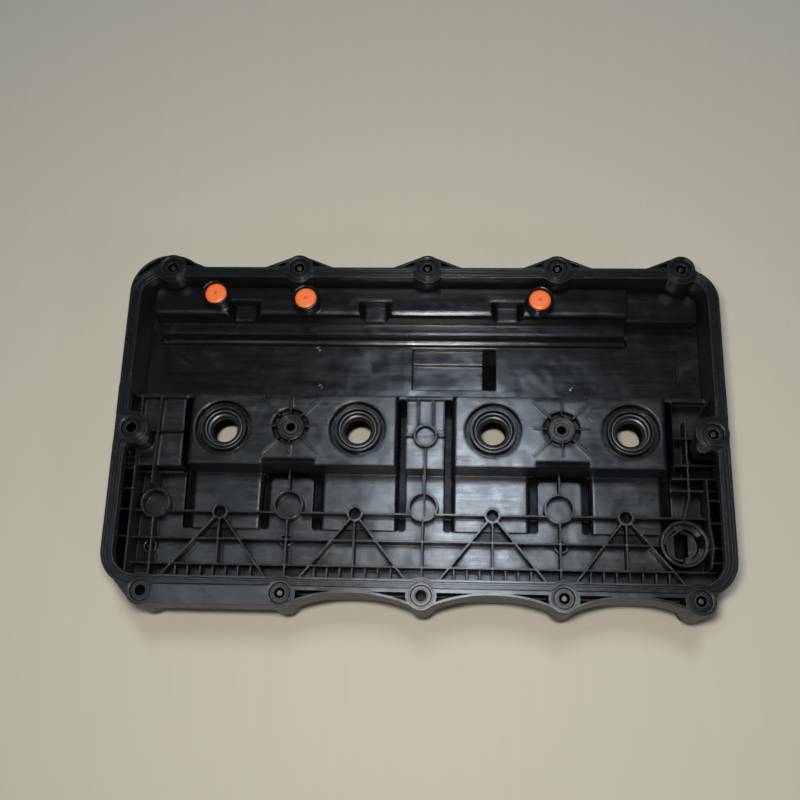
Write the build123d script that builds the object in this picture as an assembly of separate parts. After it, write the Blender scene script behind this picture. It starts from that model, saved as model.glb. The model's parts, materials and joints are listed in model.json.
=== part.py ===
"""Valve cover of a four-cylinder engine, with its oil separator baffle, seals, captive bolts and filler cap.

The cover lies on its outer side: +Z points out of its sealing face, +X runs along the row of cylinders,
and the origin is on the resting plane, under the middle of the bounding box. Sizes are in millimetres.
Inside the cover every height is given as a depth below the sealing face.
"""
import os
from math import acos, atan2, cos, degrees, hypot, pi, sin

from build123d import *

# ---------------------------------------------------------------- driving dimensions
# overall
flange_length = 430.0          # straight edge to straight edge, along X
flange_back_y = 120.0          # straight back edge of the flange
flange_front_y = -117.0        # straight front line of the sealing band
corner_radius = 25.0
seal_height = 70.0             # sealing face above the resting plane
flange_thickness = 8.0
flange_overhang = 3.0          # flange edge beyond the wall of the separator housing
wall = 3.0
front_wall = 2.4               # walls flush with the flange edge, round the front compartments
edge_chamfer = 0.5

# depths below the sealing face
pad_depth = 22.0               # tops of the twin injector pads
upper_floor_depth = 30.0       # floor beside the pads
floor_depth = 50.0             # front floor
plateau_rise = 2.0             # raised fields of the front floor
groove_drop = 6.0              # slots beside the pads and the fields, below the front floor
rib_height = 11.0              # ribs of the front floor
comb_height = 8.0
upper_rib_depth = 24.5
side_rib_depth = 27.0

# where the floors change, along Y
pad_front_y = -25.0
pad_back_y = 27.5
field_front_y = -67.0
baffle_front_y = 30.5

# bolts
bolt_row_y = 119.65
first_bolt_inset = 29.9        # along X, from the left end of the flange
last_bolt_inset = 25.6         # and from its right end
last_bolt_pitch = 89.5
side_bolt_y = -5.0
left_bolt_inset = 11.6
right_bolt_inset = 10.4
ear_radius = 9.8
ear_reach = 25.0               # half length of a back ear where it leaves the straight edge
side_bump = 1.2
ear_depth = 40.0
bolt_radius = 3.0
bolt_length = 55.0
bolt_tip_radius = 2.1
bolt_tip_length = 2.5
bolt_tip_sunk = 2.0            # tip below the sealing face when the bolt is drawn back
bolt_head_radius = 6.6
bolt_flange_thickness = 1.6
bolt_hex_flats = 8.0
bolt_hex_height = 4.4
sleeve_wall = 1.1
sleeve_gap = 0.4               # round the shank
sleeve_sunk = 1.0
sleeve_proud = 0.6
isolator_fit = 0.1
isolator_radius = 7.1
isolator_sunk = 1.6
isolator_lip_radius = 7.7
isolator_lip_thickness = 2.2
boss_rim_radius = 8.3
boss_rim_sunk = 0.6

# sealing band and gasket
ring_radius = 7.95             # band's edge round a bolt axis, at the flange edge
ring_growth = 0.51             # and its growth for each millimetre further in
blend_radius = 2.5
groove_outer_inset = 1.9
groove_inner_inset = 6.6
inner_edge_inset = 8.2
gasket_groove_depth = 4.0
gasket_clearance = 0.2
bead_width = 1.1
bead_height = 0.7
bead_inset = 0.9

# front apron with its arches
apron_depth = 25.0
arch_crown_y = -118.8
arch_foot_y = -126.4
arch_foot_x = 7.2              # from the bolt axis
front_plate_y = -128.2
ear_fillet = 4.0
web_set_in = 0.6
back_web_radius = 29.0         # rounded web at the back left corner
back_web_inset = (29.0, 19.7)  # from the left and back edges
pocket_gap = 0.8               # pocket edge from the ear and from the straight flange edge
apron_wall = 1.8
apron_web = 3.0
back_pocket_depth = 6.0
plate_thickness = 4.0

# cylinder row
cylinder_row_ends = 38.0       # length of the flange beyond four cylinder pitches
cylinder_x = 4.9               # middle of the row
injector_y = 2.0
centre_hole_y = 3.5
pad_inner_reach = 29.4         # pad edges, from the nearest injector
pad_outer_reach = 25.0
pad_fillet = 3.0
pad_notch_half = 19.0
pad_notch_drop = 5.0
pad_notch_back_drop = 2.5
groove_width = 5.8
groove_round = 2.4
field_round = 3.0
island_half = 15.8
island_corner = 4.0
island_back_y = -28.6
right_end_gap = 0.3

# injector tubes and seals
tube_bore = 9.5
tube_wall = 2.8
tube_end_depth = 46.0
seat_radius = 15.1
seat_depth = 32.0
seat_wall = 2.4
rim_radius = 16.6
moat_radius = 20.6
moat_depth = 27.5
seal_outer_radius = 15.0
seal_lip_radius = 9.1

# centre holes
well_radius = 13.4
well_depth = 27.5
centre_boss_radius = 9.6
centre_boss_top = 24.2
centre_bore = 8.4
centre_end_depth = 40.0
centre_isolator_radius = 8.3
centre_sleeve_radius = 5.4
centre_hole_radius = 2.9
spoke_reach = 20.5
long_spoke_reach = 29.0
spoke_height = 0.9
spoke_thickness = 0.9
spoke_gap = 0.9                # from the boss

# oil separator baffle
baffle_depth = 37.0
baffle_thickness = 2.2
baffle_clearance = 0.3
baffle_ledge = 3.0
channel_depth = 14.0
channel_front_y = 86.3
channel_inset = 10.8
channel_left_inset = 16.0
channel_end_inset = 64.0
channel_round = 4.0
shelf_depth = 28.5
shelf_front_y = 77.5
bead_y = 75.7
bead_radius = 2.2
bead_left_inset = 19.0
low_channel_depth = 20.5
low_channel_end_inset = 12.0
saddle_width = 14.5
saddle_splay = 10.0
saddle_depth = 24.0
saddle_shift = 10.3            # from each of the first three injectors
saddle_back_y = 98.5
window_left_x = -6.0
window_right_x = 56.5
window_front_y = 37.3
window_back_y = 70.0
window_step_y = 59.0
window_depth = 46.0
window_shallow_depth = 42.5
window_ramp = 10.0
slot_inset = 25.0
slot_y = 53.0
slot_length = 20.0
slot_width = 1.4
slot_sunk = 0.8

# drain valves
valve_shifts = ((0, -9.8, 100.5), (1, -40.5, 97.1), (2, 33.4, 96.6))     # cylinder, shift along X, Y
cup_rim_depth = 3.0
cup_radius = 9.8
cup_wall = 1.1
cup_recess = 3.4
valve_radius = 7.9
valve_gap = 0.6                # round the disc, inside its cup
valve_thickness = 1.8
valve_sunk = 0.9
valve_stem_radius = 1.6
valve_bulb_radius = 2.4

# floor furniture
rib_thickness = 1.3
floor_cup_y = -50.4
floor_cup_radius = 11.0
floor_cup_wall = 1.6
floor_cup_sunk = 7.0
rib_ring_y = -56.4
rib_ring_shifts = (-1.5, -1.1, 0.0, -3.3)      # from the injectors
comb_shifts = (-4.1, -1.7, 0.0, -1.5)
rib_ring_radius = 5.9
rib_ring_wall = 1.7
middle_rib_y = -76.2
front_rib_y = -94.6
diagonal_reach = 45.5          # from the middle of the comb
comb_pitch = 9.1
comb_count = 7
socket_shifts = ((0, -1.9, -81.6), (1, -0.9, -75.5), (3, 1.1, -77.0))    # floor cup, shift along X, Y
socket_radius = 5.2
side_rib_inset = 9.3
side_rib_ends = (-8.0, -106.0)
left_ticks = (-19.9, -27.8, -43.2, -58.2, -77.9)
right_ticks = (-45.9, -62.1, -79.7, -89.9)
wavy_rib = ((11.1, -31.0), (10.7, -48.0), (10.7, -64.0), (8.7, -78.0), (11.2, -94.0))   # inset, Y
filler_rib = ((21.6, 16.0), (21.6, -42.0), (26.2, -58.5))
left_cross_ribs = ((0.0, 26.4), (17.0, 0.2))
left_short_rib_inset = 10.4
left_long_rib_insets = (24.8, 23.2)
right_end_ribs = (27.0, 1.8, -18.4, -28.4, -37.1)
left_step_rib_y = -27.6
valley_boss = (5.1, -1.0)
valley_boss_radius = 8.6

# oil filler and cap
filler_inset = 26.3
filler_y = -74.7
neck_radius = 16.6
neck_bore = 14.5
neck_top_depth = 38.0
neck_foot = 8.0                # outer end of the neck, above the resting plane
ramp_inner_radius = 11.5
ramp_top_depth = 44.0
ramp_thickness = 4.0
ramp_arcs = ((30.0, 150.0), (-90.0, 80.0))     # start angle and length, in degrees
cap_radius = 21.0
cap_gap = 0.6                  # between the cap and the neck
cap_height = 10.0
cap_plug_radius = 10.7
cap_plug_wall = 1.3
cap_floor_height = 19.5
cap_slot_width = 9.6           # hollow of the grip, seen from inside
cap_slot_height = 4.0          # its floor above the resting plane
cap_lug_angles = (105.0, -75.0)
cap_lug_spread = 24.0
cap_lug_thickness = 3.4
cap_flutes = 12
cap_flute_radius = 3.0
cap_seal_thickness = 1.7

# outer side
deck_round = 2.5
post_radius = 8.0
post_bore = 3.2
post_shifts = ((0, -7.9, -92.0), (2, -1.9, -92.0))     # cylinder, shift along X, Y
nipple_radius = 9.5
nipple_bore = 7.0
nipple_length = 22.0
nipple_y = 62.0
nipple_height = 15.5
nipple_chamfer = 0.8
housing_end_inset = 24.0

# ---------------------------------------------------------------- derived places
half_length = flange_length / 2
plateau_depth = floor_depth - plateau_rise
groove_depth = floor_depth + groove_drop
rib_depth = floor_depth - rib_height
comb_depth = floor_depth - comb_height
chamber_depth = seal_height - wall
bolt_pitch = (flange_length - first_bolt_inset - last_bolt_inset - last_bolt_pitch) / 3
bolt_columns = [first_bolt_inset - half_length + bolt_pitch * step for step in range(4)]
bolt_columns.append(half_length - last_bolt_inset)
back_bolts = [(x, bolt_row_y) for x in bolt_columns]
front_bolts = [(x, -bolt_row_y) for x in bolt_columns]
side_bolts = [(left_bolt_inset - half_length, side_bolt_y), (half_length - right_bolt_inset, side_bolt_y)]
bolt_holes = back_bolts + front_bolts + side_bolts
open_holes = [front_bolts[0], front_bolts[2], side_bolts[0]]
fitted_bolts = [place for place in bolt_holes if place not in open_holes]
cylinder_pitch = (flange_length - cylinder_row_ends) / 4
cylinder_places = [(cylinder_x + cylinder_pitch * step, injector_y) for step in (-1.5, -0.5, 0.5, 1.5)]
centre_places = [(cylinder_x + cylinder_pitch * step, centre_hole_y) for step in (-1, 1)]
floor_cups = [(cylinder_x - 1.0 + cylinder_pitch * step, floor_cup_y) for step in (-2, -1, 0, 1)]
pad_inner_x = cylinder_pitch / 2 - pad_inner_reach
pad_outer_x = cylinder_pitch * 1.5 + pad_outer_reach
right_end_x = cylinder_x + pad_outer_x + groove_width + right_end_gap
rib_rings = [(place[0] + shift, rib_ring_y) for place, shift in zip(cylinder_places, rib_ring_shifts)]
comb_columns = [place[0] + shift for place, shift in zip(cylinder_places, comb_shifts)]
socket_places = [(floor_cups[index][0] + shift, y) for index, shift, y in socket_shifts]
saddles = [place[0] + saddle_shift for place in cylinder_places[:3]]
valve_places = [(cylinder_places[index][0] + shift, y) for index, shift, y in valve_shifts]
post_places = [(cylinder_places[index][0] + shift, y) for index, shift, y in post_shifts]
channel_left_x = channel_left_inset - half_length
channel_end_x = half_length - channel_end_inset
bead_left_x = bead_left_inset - half_length
low_channel_end_x = half_length - low_channel_end_inset
side_rib_x = side_rib_inset - half_length
wavy_path = [(half_length - inset, y) for inset, y in wavy_rib]
filler_path = [(half_length - inset, y) for inset, y in filler_rib]
filler_place = (half_length - filler_inset, filler_y)
neck_end_depth = seal_height - neck_foot
cap_top_depth = seal_height - cap_height
cap_plug_floor = seal_height - cap_floor_height
nipple_depth = seal_height - nipple_height
flange_mid_y = (flange_back_y + flange_front_y) / 2
flange_depth_y = flange_back_y - flange_front_y
bolt_bore = isolator_radius + isolator_fit
sleeve_bore = bolt_radius + sleeve_gap
sleeve_radius = sleeve_bore + sleeve_wall
sleeve_end_depth = ear_depth + isolator_lip_thickness + sleeve_proud
baffle_seat_depth = baffle_depth + baffle_thickness


# ---------------------------------------------------------------- small helpers
def level(depth):
    """Height of the plane that lies a depth below the sealing face."""
    return seal_height - depth


def slab(face, top, bottom):
    """A flat outline extruded between two depths."""
    return Pos(0, 0, level(bottom)) * extrude(face, amount=bottom - top)


def field(x_low, x_high, y_low, y_high, corner=0.0):
    """A rectangle between two corners, with rounded corners where a radius is given."""
    place = Pos((x_low + x_high) / 2, (y_low + y_high) / 2)
    if corner > 0:
        return place * RectangleRounded(x_high - x_low, y_high - y_low, corner)
    return place * Rectangle(x_high - x_low, y_high - y_low)


def block(x_low, x_high, y_low, y_high, top, bottom, corner=0.0):
    return slab(field(x_low, x_high, y_low, y_high, corner), top, bottom)


def disc(place, radius, top, bottom):
    x, y = place
    return slab(Pos(x, y) * Circle(radius), top, bottom)


def turned(place, profile):
    """A ring or plug turned about a vertical axis; the profile is a list of (radius, depth)."""
    x, y = place
    section = Polygon(*[(radius, level(depth)) for radius, depth in profile], align=None)
    return Pos(x, y, 0) * revolve(Plane.XZ * section, Axis.Z)


def bar(start, end, thickness=rib_thickness):
    """A straight rib's outline between two points."""
    dx = end[0] - start[0]
    dy = end[1] - start[1]
    middle = Pos((start[0] + end[0]) / 2, (start[1] + end[1]) / 2)
    return middle * Rot(0, 0, degrees(atan2(dy, dx))) * Rectangle(hypot(dx, dy), thickness)


def joined(faces):
    return Sketch() + list(faces)


def ring(place, outer, inner, top, bottom):
    x, y = place
    return slab(Pos(x, y) * (Circle(outer) - Circle(inner)), top, bottom)


def wedge(inner, outer, start, spread):
    """Flat piece of a ring between two angles, about the origin."""
    angles = [start, start + spread / 2, start + spread]
    near = [(inner * cos(a * pi / 180), inner * sin(a * pi / 180)) for a in angles]
    far = [(outer * cos(a * pi / 180), outer * sin(a * pi / 180)) for a in angles]
    edge = ThreePointArc(*far) + Line(far[2], near[2]) + ThreePointArc(*reversed(near)) + Line(near[0], far[0])
    return make_face(edge)


# ---------------------------------------------------------------- outlines of the flange
def sealing_outline(inset):
    """Outline that runs inside the flange edge and passes on the inner side of every bolt."""
    shrink = inset + blend_radius
    corner = corner_radius - shrink
    core = RectangleRounded(flange_length - 2 * shrink, flange_depth_y - 2 * shrink, corner)
    core = Pos(0, flange_mid_y) * core
    radius = ring_radius + ring_growth * inset + blend_radius
    core -= [Pos(x, y) * Circle(radius) for x, y in bolt_holes]
    for x, y in side_bolts:
        core -= Pos(x + (radius if x > 0 else -radius), y) * Rectangle(2 * radius, 2 * radius)
    return offset(core, amount=blend_radius, kind=Kind.ARC)


def ear_flank(place, side):
    """Straight flank that runs from the back edge tangent into an ear."""
    x, y = place
    rise = flange_back_y - y
    turn = atan2(rise, ear_reach) + acos(ear_radius / hypot(ear_reach, rise))
    tangent_x = ear_radius * cos(turn)
    tangent_y = ear_radius * sin(turn)
    points = [(x, y - 1), (x + side * ear_reach, y - 1), (x + side * ear_reach, flange_back_y),
              (x + side * tangent_x, y + tangent_y), (x, y)]
    if side < 0:
        points.reverse()
    return Polygon(*points, align=None)


def corner_web():
    """Straight-edged web from the front left corner of the flange to the first front bolt."""
    corner = Pos(-half_length + corner_radius, flange_front_y + corner_radius)
    corner = corner * Circle(corner_radius - web_set_in)
    ear = Pos(*front_bolts[0]) * Circle(ear_radius - web_set_in)
    return make_hull(corner.edges() + ear.edges())


def arch(left, right):
    """Front apron between two bolts, with an arched front edge."""
    foot_left = (left + arch_foot_x, arch_foot_y)
    foot_right = (right - arch_foot_x, arch_foot_y)
    top_left = (left, flange_front_y + wall)
    top_right = (right, flange_front_y + wall)
    edge = Line(top_right, top_left) + Line(top_left, (left, arch_foot_y)) + Line((left, arch_foot_y), foot_left)
    edge += ThreePointArc(foot_left, ((left + right) / 2, arch_crown_y), foot_right)
    edge += Line(foot_right, (right, arch_foot_y)) + Line((right, arch_foot_y), top_right)
    return make_face(edge)


def base_outline(grow=0.0):
    base = RectangleRounded(flange_length + 2 * grow, flange_depth_y + 2 * grow, corner_radius + grow)
    return Pos(0, flange_mid_y) * base


def flange_outline():
    """Whole outline of the flange, with its concave corners rounded."""
    outline = base_outline()
    outline += [ear_flank(place, 1) for place in back_bolts[:-1]]
    outline += [ear_flank(place, -1) for place in back_bolts[1:]]
    outline += [Pos(*place) * Circle(ear_radius) for place in back_bolts + front_bolts]
    outline += [arch(left, right) for left, right in zip(bolt_columns[1:-1], bolt_columns[2:])]
    outline += field(bolt_columns[0], bolt_columns[1], front_plate_y, flange_front_y + wall)
    back_web = Pos(back_web_inset[0] - half_length, flange_back_y - back_web_inset[1])
    outline += [corner_web(), back_web * Circle(back_web_radius)]
    outline += [Pos(*place) * Circle(ear_radius + side_bump) for place in side_bolts]
    grown = offset(outline, amount=ear_fillet, kind=Kind.ARC)
    return offset(grown, amount=-ear_fillet, kind=Kind.ARC)


def apron_field(outline, shrink):
    """Part of the outline in front of the sealing band, drawn in from its edge."""
    front = field(-half_length, half_length, -flange_depth_y, flange_front_y - pocket_gap)
    return offset(outline, amount=-shrink, kind=Kind.ARC) & front


def pocket_fields(outline):
    """Triangular pockets beside the ears, where the outline leaves the straight edge."""
    inner = offset(outline, amount=-apron_wall, kind=Kind.ARC) - base_outline(pocket_gap)
    inner -= [Pos(x, y) * Circle(ear_radius + pocket_gap) for x, y in bolt_holes]
    inner -= field(bolt_columns[0], bolt_columns[1], -flange_depth_y, flange_front_y)
    faces = [face for face in inner.faces() if face.area > 4.0]
    return [face for face in faces if face.center().Y > 0], [face for face in faces if face.center().Y < 0]


# ---------------------------------------------------------------- cover, outer side
def groove_fields():
    """Outlines of the slots beside the pads, the raised floor fields and the islands."""
    faces = []
    for side in (-1, 1):
        for inner, outer in ((pad_inner_x - groove_width, pad_inner_x), (pad_outer_x, pad_outer_x + groove_width)):
            low, high = sorted((cylinder_x + side * inner, cylinder_x + side * outer))
            faces.append(field(low, high, field_front_y, pad_back_y, groove_round))
    for x, y in centre_places:
        for low in (x - island_half - groove_width, x + island_half):
            faces.append(field(low, low + groove_width, field_front_y, pad_front_y, groove_round))
        faces.append(field(x - island_half - groove_width / 2, x + island_half + groove_width / 2,
                           island_back_y - island_corner, pad_front_y))
    return faces


def pad_edges(side):
    return sorted((cylinder_x + side * pad_inner_x, cylinder_x + side * pad_outer_x))


def outer_body(outline):
    """The outer volumes: flange, walls, front deck, injector valley and separator housing."""
    flange = slab(outline, 0, flange_thickness)
    flange = chamfer(flange.faces().sort_by(Axis.Z)[-1].edges(), edge_chamfer)
    walls = sealing_outline(flange_overhang)
    front_walls = sealing_outline(0) & field(-half_length, half_length, flange_front_y, pad_back_y)
    deck = field(-half_length, half_length, flange_front_y, pad_front_y + wall) & front_walls
    right_end = field(right_end_x - wall, half_length, pad_front_y, pad_back_y) & front_walls
    housing_x = half_length - housing_end_inset
    housing = field(-housing_x, housing_x, pad_back_y, flange_back_y) & walls
    back = field(-half_length, half_length, pad_back_y, flange_back_y) & walls
    solids = [slab(walls, 0, upper_floor_depth + wall), slab(front_walls, 0, upper_floor_depth + wall)]
    solids.append(rounded_below(deck, floor_depth + wall))
    solids.append(slab(right_end, 0, floor_depth + wall))
    solids.append(slab(back, 0, baffle_seat_depth + wall))
    solids.append(rounded_below(housing, seal_height))
    solids.append(slab(apron_field(outline, 0), 0, apron_depth))
    solids += [disc(place, ear_radius, 0, ear_depth) for place in bolt_holes]
    solids += [slab(offset(face, amount=wall, kind=Kind.ARC) & walls, upper_floor_depth, groove_depth + wall)
               for face in groove_fields()]
    return flange + solids


def rounded_below(face, bottom):
    """A volume from the sealing face down, with its lower edge rounded."""
    solid = slab(face, 0, bottom)
    return fillet(solid.faces().sort_by(Axis.Z)[0].edges(), deck_round)


def outer_cavities(outline):
    """Hollows that open to the outer side: under the pads, the islands, the apron and the front plate."""
    solids = []
    for side in (-1, 1):
        low, high = pad_edges(side)
        solids.append(block(low + wall, high - wall, pad_front_y + wall, pad_back_y - wall,
                            pad_depth + wall, seal_height, 1.5))
    for x, y in centre_places:
        solids.append(block(x - island_half + wall, x + island_half - wall, field_front_y + wall,
                            island_back_y - wall, floor_depth + wall, seal_height, 1.5))
    plate = apron_field(outline, apron_wall) & field(-half_length, bolt_columns[1], -flange_depth_y, 0)
    plate -= [Pos(x, y) * Circle(ear_radius) for x, y in front_bolts[:2]]
    solids.append(slab(plate, plate_thickness, apron_depth + 1))
    return solids


# ---------------------------------------------------------------- cover, sealing side
def inner_hollow():
    """The cavity of the cover: end compartments, valley, front floor and separator chamber."""
    inside = sealing_outline(inner_edge_inset)
    front = field(-half_length, half_length, flange_front_y, pad_front_y) & inside
    right_end = field(right_end_x, half_length, pad_front_y - 1, pad_back_y) & inside
    back = field(-half_length, half_length, baffle_front_y - baffle_clearance, flange_back_y) & inside
    housing_x = half_length - housing_end_inset - wall
    chamber = field(-housing_x, housing_x, baffle_front_y + baffle_ledge, flange_back_y)
    chamber = chamber & sealing_outline(inner_edge_inset + baffle_ledge)
    under = sealing_outline(front_wall) & field(-half_length, half_length, flange_front_y, pad_back_y - front_wall)
    under_front = under & field(-half_length, half_length, flange_front_y, pad_front_y)
    under_right = under & field(right_end_x, half_length, pad_front_y - 1, pad_back_y)
    solids = [slab(inside, 0, upper_floor_depth), slab(front, 0, floor_depth), slab(right_end, 0, floor_depth)]
    solids += [slab(under, flange_thickness, upper_floor_depth), slab(under_front, flange_thickness, floor_depth)]
    solids.append(slab(under_right, flange_thickness, floor_depth))
    solids += [slab(back, 0, baffle_seat_depth), slab(chamber, 0, chamber_depth)]
    solids += [slab(face, 0, groove_depth) for face in groove_fields()]
    return solids


def pads():
    """Raised twin pads round the injectors, stepped down in the middle of both long edges."""
    solids = []
    for side in (-1, 1):
        low, high = pad_edges(side)
        pad = block(low, high, pad_front_y, pad_back_y, pad_depth, upper_floor_depth)
        top = pad.faces().sort_by(Axis.Z)[-1]
        pad = fillet(top.edges().filter_by(Axis.Y), pad_fillet)
        middle = cylinder_x + side * cylinder_pitch
        front_notch = prism(middle, 2 * pad_notch_half, [(pad_front_y - 1, pad_depth - 1),
                                                         (pad_front_y + pad_notch_drop, pad_depth - 1),
                                                         (pad_front_y + pad_notch_drop, pad_depth),
                                                         (pad_front_y, pad_depth + pad_notch_drop),
                                                         (pad_front_y - 1, pad_depth + pad_notch_drop)])
        back_notch = prism(middle, 2 * pad_notch_half, [(pad_back_y + 1, pad_depth - 1),
                                                        (pad_back_y - pad_notch_back_drop, pad_depth - 1),
                                                        (pad_back_y - pad_notch_back_drop, pad_depth + 1),
                                                        (pad_back_y + 1, pad_depth + 1)])
        solids.append(pad - [front_notch, back_notch])
    return solids


def prism(middle_x, width, profile):
    """A straight piece along X; the profile is a list of (y, depth)."""
    section = Polygon(*[(y, level(depth)) for y, depth in profile], align=None)
    face = Plane((middle_x - width / 2, 0, 0), x_dir=(0, 1, 0), z_dir=(1, 0, 0)) * section
    return extrude(face, amount=width, dir=(1, 0, 0))


def floor_fields():
    """Raised fields in front of the pads, and the islands between them."""
    solids = []
    for side in (-1, 1):
        low, high = pad_edges(side)
        middle = cylinder_x + side * cylinder_pitch
        inner = island_half + groove_width
        for start, end in ((low, middle - inner), (middle + inner, high)):
            raised = block(start, end, field_front_y, pad_front_y + 0.5, plateau_depth, groove_depth + 1)
            top = raised.faces().sort_by(Axis.Z)[-1]
            solids.append(fillet(top.edges().filter_by(Axis.Y), field_round))
        island = field(middle - island_half, middle + island_half, field_front_y, island_back_y)
        island = fillet(island.vertices().group_by(Axis.Y)[-1], island_corner)
        solids.append(slab(island, floor_depth, groove_depth + 1))
    return solids


def rib_room():
    """Outline that ends every rib inside the front walls."""
    room = field(-half_length, half_length, flange_front_y, pad_back_y)
    return sealing_outline(front_wall / 2) & room


def front_ribs():
    """Ribs of the front floor, drawn in one outline."""
    left = side_rib_x + 1
    front = flange_front_y
    ribs = [bar((left, y), (half_length, y)) for y in (rib_ring_y, middle_rib_y, front_rib_y)]
    for (x, y), comb_x in zip(rib_rings, comb_columns):
        ribs += [bar((x, y), (comb_x + side * diagonal_reach, front + 4)) for side in (-1, 1)]
        ribs.append(bar((x, y), (x, front_rib_y)))
    for x, y in floor_cups:
        ribs.append(bar((x, pad_front_y), (x, front)))
    ribs.append(bar((-half_length, front_rib_y), (0, front_rib_y)))
    ribs.append(bar((left, left_step_rib_y), (pad_edges(-1)[0] - groove_width, left_step_rib_y)))
    outline = joined(ribs) & rib_room()
    rings = rib_rings + floor_cups + [filler_place]
    radii = [rib_ring_radius - 0.5] * len(rib_rings) + [floor_cup_radius - 0.5] * len(floor_cups)
    radii.append(neck_radius - 0.5)
    outline -= [Pos(*place) * Circle(radius) for place, radius in zip(rings, radii)]
    return slab(outline, rib_depth, floor_depth + 1)


def combs():
    """Short parallel ribs along the front wall, in front of each cylinder."""
    front = flange_front_y
    ribs = []
    for x in comb_columns:
        places = [x + (step - (comb_count - 1) / 2) * comb_pitch for step in range(comb_count)]
        ribs += [bar((place, front_rib_y), (place, front)) for place in places]
    return slab(joined(ribs) & rib_room(), comb_depth, floor_depth + 1)


def end_ribs():
    """Ribs of the two end compartments and of the valley between the pads."""
    pad_left = pad_edges(-1)[0] - groove_width
    left = [bar((inset - half_length, y), (pad_left, y)) for inset, y in left_cross_ribs]
    short = left_short_rib_inset - half_length
    left.append(bar((short, pad_back_y), (short, -side_bolt_y)))
    top, bottom = [inset - half_length for inset in left_long_rib_insets]
    left.append(bar((top, pad_back_y), (bottom, floor_cup_y + floor_cup_radius)))
    solids = [slab(joined(left) & rib_room(), upper_rib_depth, floor_depth + 1)]
    right = [bar((right_end_x - 1, y), (half_length, y)) for y in right_end_ribs]
    right += path_bars(filler_path)
    solids.append(slab(joined(right) & rib_room(), rib_depth - 3, floor_depth + 1))
    x, y = valley_boss
    inner = pad_inner_x - groove_width
    back = pad_back_y - 0.5
    valley = [bar((x - 5.6, pad_back_y), (x - 5.6, y + 6)), bar((x + 5.4, pad_back_y), (x + 5.4, y + 6))]
    valley += [bar((cylinder_x - inner, y), (x - 7.5, y)), bar((x + 7.5, y), (cylinder_x + inner, y))]
    valley += [bar((x, y - 7.5), (x, floor_cup_y)), bar((cylinder_x - inner, back), (cylinder_x + inner, back))]
    solids.append(slab(joined(valley), upper_rib_depth + 2, upper_floor_depth + 1))
    solids.append(ring(valley_boss, valley_boss_radius, valley_boss_radius - 1.6,
                       upper_rib_depth + 1, upper_floor_depth + 1))
    return solids


def path_bars(points):
    """Rib along a path of straight pieces, with rounded joints."""
    pieces = [bar(start, end) for start, end in zip(points, points[1:])]
    return pieces + [Pos(*place) * Circle(rib_thickness / 2) for place in points[1:-1]]


def side_ribs():
    """Ribs along both ends of the cover, with ticks that reach the wall."""
    edge = half_length - front_wall + 1
    ribs = [bar((side_rib_x, side_rib_ends[0]), (side_rib_x, side_rib_ends[1]))]
    ribs += [bar((side_rib_x, y), (-edge, y)) for y in left_ticks]
    ribs += [bar((wavy_path[1][0], y), (edge, y)) for y in right_ticks]
    outline = joined(ribs + path_bars(wavy_path)) & rib_room()
    return slab(outline, side_rib_depth, floor_depth + 1)


def floor_rings():
    """Cups, ring bosses and sockets that stand on the front floor."""
    solids = []
    for place in floor_cups:
        solids.append(ring(place, floor_cup_radius, floor_cup_radius - floor_cup_wall,
                           rib_depth + 1, floor_depth + 1))
    for place in rib_rings:
        solids.append(ring(place, rib_ring_radius, rib_ring_radius - rib_ring_wall, rib_depth, floor_depth + 1))
    for place in socket_places:
        solids.append(ring(place, socket_radius, socket_radius - 1.5, floor_depth - 5, floor_depth + 1))
    return solids


def injector_bosses():
    """Material round each injector: moat floor, seal seat and the tube on the outer side."""
    solids = []
    for place in cylinder_places:
        solids.append(disc(place, moat_radius + wall, pad_depth + 1, moat_depth + wall))
        solids.append(disc(place, seat_radius + seat_wall, pad_depth, seat_depth + wall))
        solids.append(disc(place, tube_bore + tube_wall, pad_depth + 1, tube_end_depth))
    for place in centre_places:
        solids.append(disc(place, well_radius + wall, pad_depth + 1, well_depth + wall))
        solids.append(disc(place, centre_boss_radius, well_depth, centre_end_depth))
    return solids


def injector_cuts():
    solids = []
    for place in cylinder_places:
        solids.append(ring(place, moat_radius, rim_radius, pad_depth - 1, moat_depth))
        solids.append(disc(place, seat_radius, pad_depth - 1, seat_depth))
        solids.append(disc(place, tube_bore, pad_depth, tube_end_depth + 1))
    return solids


def centre_wells():
    """The sunk ring round each centre hole, its boss and the spokes on the pad."""
    cuts = [ring(place, well_radius, centre_boss_radius, pad_depth - 1, well_depth) for place in centre_places]
    cuts += [disc(place, centre_boss_radius + 0.01, pad_depth - 1, centre_boss_top) for place in centre_places]
    spokes = []
    start = centre_boss_radius + spoke_gap
    for x, y in centre_places:
        for step in range(8):
            reach = long_spoke_reach if step % 2 else spoke_reach
            spoke = Pos((start + reach) / 2) * Rectangle(reach - start, spoke_thickness)
            spokes.append(Pos(x, y) * Rot(0, 0, 45 * step) * spoke)
    room = field(-half_length, half_length, pad_front_y + pad_notch_drop, pad_back_y - pad_notch_back_drop - 0.5)
    top = pad_depth - spoke_height
    spokes = joined(spokes) & room
    webs = spokes & joined([Pos(*place) * Circle(well_radius + 0.5) for place in centre_places])
    return cuts, [slab(spokes, top, pad_depth + 1), slab(webs, top, well_depth + 1)]


def filler_neck():
    """Neck of the oil filler with its two ramps."""
    neck = ring(filler_place, neck_radius, neck_bore, neck_top_depth, neck_end_depth)
    ramps = [Pos(*filler_place) * wedge(ramp_inner_radius, neck_bore + 0.5, start, spread)
             for start, spread in ramp_arcs]
    return [neck, slab(joined(ramps), ramp_top_depth, ramp_top_depth + ramp_thickness)]


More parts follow.
